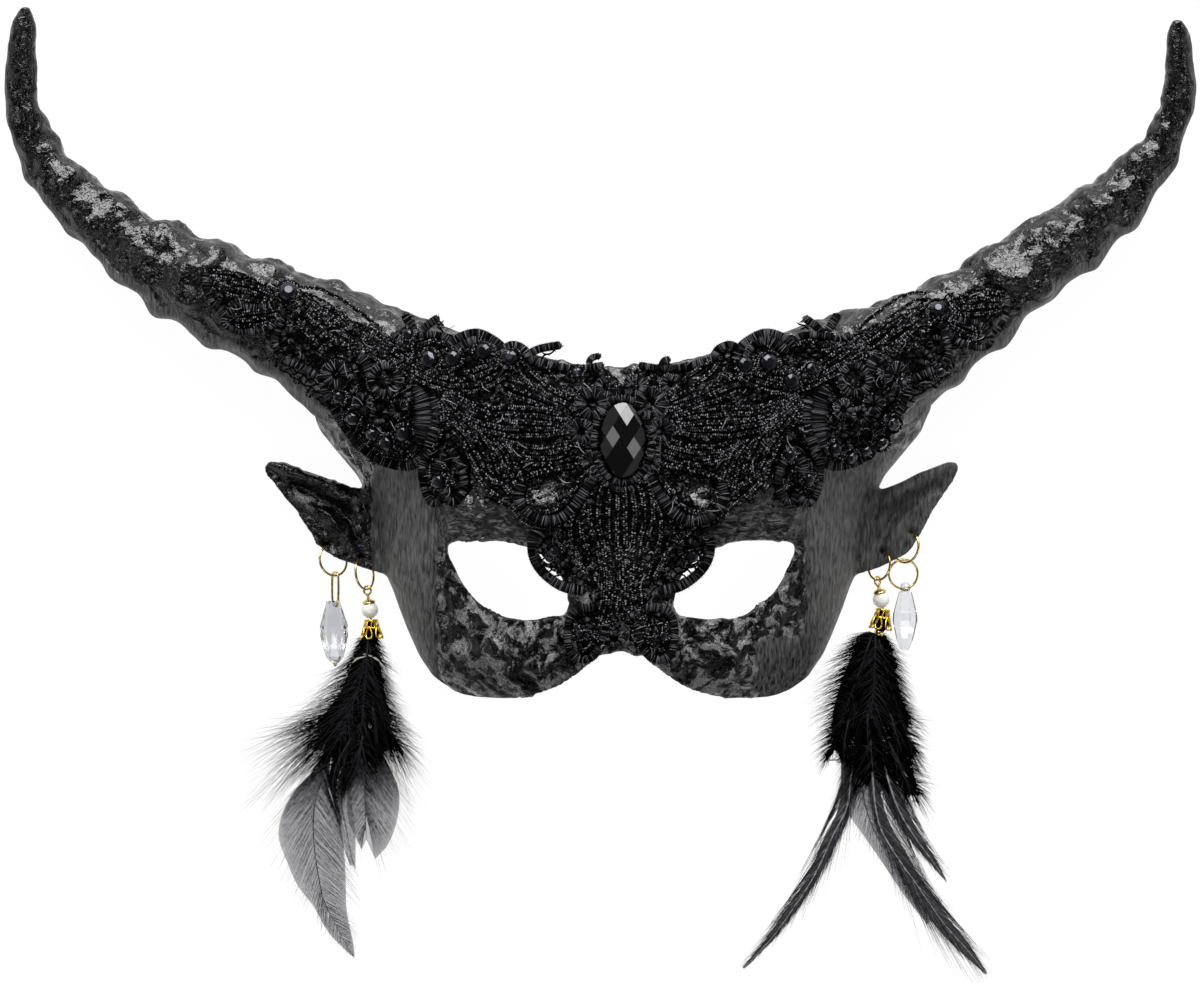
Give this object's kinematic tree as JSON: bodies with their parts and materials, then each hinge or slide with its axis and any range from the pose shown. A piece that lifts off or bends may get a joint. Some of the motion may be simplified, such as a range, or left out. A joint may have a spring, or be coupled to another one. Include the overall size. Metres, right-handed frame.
{
  "type": "horned half mask",
  "caption": "Horned black half mask with pointed ears, lace over the forehead, a faceted oval stone, small rhinestones, and ear pendants of crystal, pearl and feathers.",
  "frame": {"origin": "on the surface the mask lies on, under the middle of its bounding box", "axes": "+X to the side on which a viewer who looks down at the face sees its right horn, +Y towards the horn tips, +Z out of the face"},
  "size_m": [0.4002, 0.3268, 0.0673],
  "materials": {
    "black_lacquer": "crinkled black lacquer over a moulded shell",
    "black_lace": "corded and embroidered black lace",
    "black_stone": "polished faceted black acrylic",
    "clear_stone": "foil-backed faceted acrylic",
    "gold_wire": "polished gold-coloured wire",
    "antique_gold": "cast filigree, darkened in its recesses",
    "clear_crystal": "polished faceted glass",
    "pearl_coat": "pearl lacquer over a plastic bead",
    "black_feather": "soft barbs"
  },
  "bodies": {
    "root": {"mask_shell": "black_lacquer", "lace_applique": "black_lace", "centre_gem": "black_stone", "rhinestone_01": "clear_stone", "rhinestone_02": "clear_stone", "rhinestone_03": "clear_stone", "rhinestone_04": "clear_stone", "rhinestone_05": "clear_stone", "rhinestone_06": "clear_stone", "rhinestone_07": "clear_stone", "rhinestone_08": "clear_stone", "rhinestone_09": "clear_stone", "rhinestone_10": "clear_stone", "rhinestone_11": "clear_stone", "rhinestone_12": "clear_stone", "rhinestone_13": "clear_stone", "rhinestone_14": "clear_stone", "rhinestone_15": "clear_stone", "rhinestone_16": "clear_stone", "rhinestone_17": "clear_stone", "rhinestone_18": "clear_stone", "rhinestone_19": "clear_stone", "rhinestone_20": "clear_stone", "rhinestone_21": "clear_stone", "rhinestone_22": "clear_stone", "rhinestone_23": "clear_stone", "rhinestone_24": "clear_stone", "rhinestone_25": "clear_stone", "rhinestone_26": "clear_stone", "rhinestone_27": "clear_stone", "rhinestone_28": "clear_stone", "rhinestone_29": "clear_stone", "rhinestone_30": "clear_stone", "rhinestone_31": "clear_stone", "rhinestone_32": "clear_stone", "ring_left_outer": "gold_wire", "ring_left_inner": "gold_wire", "ring_right_outer": "gold_wire", "ring_right_lower": "gold_wire", "ring_right_inner": "gold_wire", "bail_left": "gold_wire", "crystal_left": "clear_crystal", "eye_pin_left": "gold_wire", "pearl_left": "pearl_coat", "pearl_cap_left": "antique_gold", "filigree_bell_left": "antique_gold", "feather_cluster_left": "black_feather", "crystal_right": "clear_crystal", "eye_pin_right": "gold_wire", "pearl_right": "pearl_coat", "pearl_cap_right": "antique_gold", "filigree_bell_right": "antique_gold", "feather_cluster_right": "black_feather", "crimp_ring": "gold_wire"}
  },
  "joints": []
}
